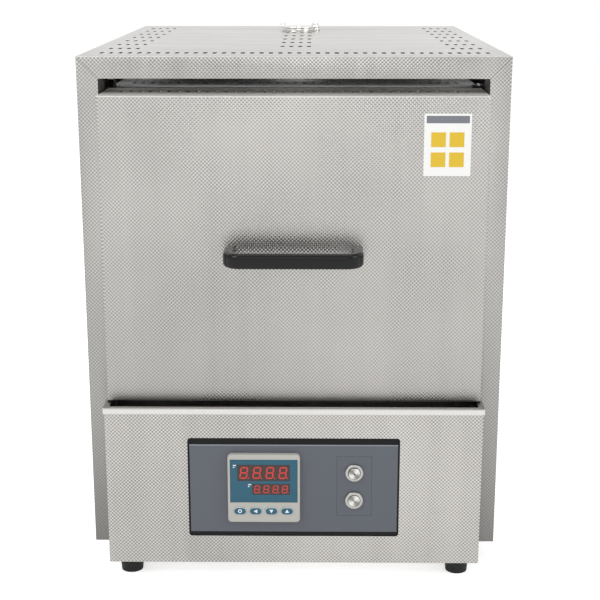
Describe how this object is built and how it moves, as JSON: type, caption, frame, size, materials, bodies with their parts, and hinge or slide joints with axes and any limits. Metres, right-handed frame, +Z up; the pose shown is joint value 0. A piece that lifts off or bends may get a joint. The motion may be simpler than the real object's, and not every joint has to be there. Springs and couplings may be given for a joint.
{
  "type": "muffle furnace",
  "caption": "Bench muffle furnace: steel case with vent slots, bottom-hinged flap door, fibre-lined heated chamber, swinging exhaust cover and a digital controller in its base.",
  "frame": {"origin": "centre of the footprint on the floor, under the feet", "axes": "+Z up, door and controls face -Y, +X to the right seen from the front"},
  "size_m": [0.415, 0.626, 0.5325],
  "materials": {
    "casing_steel": "smooth satin sheet",
    "door_steel": "fine linen-embossed bright sheet",
    "bright_steel": "bright folded sheet",
    "housing_steel": "plain mill sheet",
    "cover_steel": "turned sheet",
    "hinge_steel": "plated steel",
    "screw_steel": "plated screws",
    "bush_brass": "turned",
    "button_metal": "spun metal",
    "sink_aluminium": "extruded",
    "foot_rubber": "moulded",
    "handle_plastic": "moulded gloss",
    "panel_black": "matt",
    "fascia_grey": "satin printed sheet",
    "bezel_beige": "moulded",
    "face_blue": "printed film",
    "key_blue": "moulded",
    "display_glass": "tinted window",
    "gland_nylon": "moulded",
    "magnet_iron": "sintered",
    "fibre_board": "vacuum-formed ceramic fibre",
    "gasket_fibre": "pressed fibre",
    "kiln_ceramic": "fired ceramic",
    "sheath_ceramic": "glazed tube",
    "element_wire": "oxidised wire"
  },
  "bodies": {
    "cabinet": {"base_tray": "housing_steel", "button_bodies": "button_metal", "button_nuts": "button_metal", "cable_gland": "gland_nylon", "catch_leaf": "bright_steel", "chamber_collar": "fibre_board", "control_backing": "panel_black", "control_fascia": "fascia_grey", "controller_bezel": "bezel_beige", "controller_case": "panel_black", "controller_face": "face_blue", "cover_pivot": "screw_steel", "deck_plate": "housing_steel", "display_windows": "display_glass", "door_rest_lip": "bright_steel", "door_sensor": "panel_black", "exhaust_duct": "kiln_ceramic", "exhaust_flange": "cover_steel", "floor_tile": "kiln_ceramic", "foot_screws": "screw_steel", "front_panel": "door_steel", "gland_locknut": "gland_nylon", "heat_sink": "sink_aluminium", "heating_elements": "element_wire", "heating_plates": "kiln_ceramic", "hinge_bushes": "bush_brass", "hinge_plates": "hinge_steel", "hinge_rivets": "hinge_steel", "housing_front_plate": "housing_steel", "housing_rear_plate": "housing_steel", "housing_shell": "housing_steel", "insulation_boards": "fibre_board", "outer_casing": "casing_steel", "pan_screws": "screw_steel", "power_relay": "gland_nylon", "rear_insulation": "fibre_board", "rear_panel": "casing_steel", "roof_insulation": "fibre_board", "rubber_feet": "foot_rubber", "terminal_block": "gland_nylon", "thermocouple": "sheath_ceramic"},
    "door": {"door_skin": "door_steel", "door_back": "bright_steel", "door_insulation": "fibre_board", "door_plug": "fibre_board", "door_gasket": "gasket_fibre", "door_handle": "handle_plastic", "handle_screws": "screw_steel", "hinge_blocks": "hinge_steel", "hinge_pins": "hinge_steel", "door_magnet": "magnet_iron"},
    "exhaust_cover": {"exhaust_cover": "cover_steel", "cover_eye": "cover_steel"},
    "start_button": {"start_button": "button_metal"},
    "stop_button": {"stop_button": "button_metal"},
    "key_set": {"key_set": "key_blue"},
    "key_shift": {"key_shift": "key_blue"},
    "key_down": {"key_down": "key_blue"},
    "key_up": {"key_up": "key_blue"}
  },
  "joints": [
    {"name": "door_hinge", "type": "hinge", "parent": "cabinet", "child": "door", "pos_m": [0, -0.237, 0.2193], "axis": [1, 0, 0], "range_deg": [0, 90]},
    {"name": "exhaust_cover_swing", "type": "hinge", "parent": "cabinet", "child": "exhaust_cover", "pos_m": [0.021, 0.181, 0.525], "axis": [0, 0, 1], "range_deg": [0, 150]},
    {"name": "start_button_press", "type": "slide", "parent": "cabinet", "child": "start_button", "axis": [0, 1, 0], "range_m": [0, 0.0025], "stiffness_N_per_m": 400, "springref_m": -0.001},
    {"name": "stop_button_press", "type": "slide", "parent": "cabinet", "child": "stop_button", "axis": [0, 1, 0], "range_m": [0, 0.0025], "stiffness_N_per_m": 400, "springref_m": -0.001},
    {"name": "key_set_press", "type": "slide", "parent": "cabinet", "child": "key_set", "axis": [0, 1, 0], "range_m": [0, 0.0008], "stiffness_N_per_m": 300, "springref_m": -0.001},
    {"name": "key_shift_press", "type": "slide", "parent": "cabinet", "child": "key_shift", "axis": [0, 1, 0], "range_m": [0, 0.0008], "stiffness_N_per_m": 300, "springref_m": -0.001},
    {"name": "key_down_press", "type": "slide", "parent": "cabinet", "child": "key_down", "axis": [0, 1, 0], "range_m": [0, 0.0008], "stiffness_N_per_m": 300, "springref_m": -0.001},
    {"name": "key_up_press", "type": "slide", "parent": "cabinet", "child": "key_up", "axis": [0, 1, 0], "range_m": [0, 0.0008], "stiffness_N_per_m": 300, "springref_m": -0.001}
  ]
}
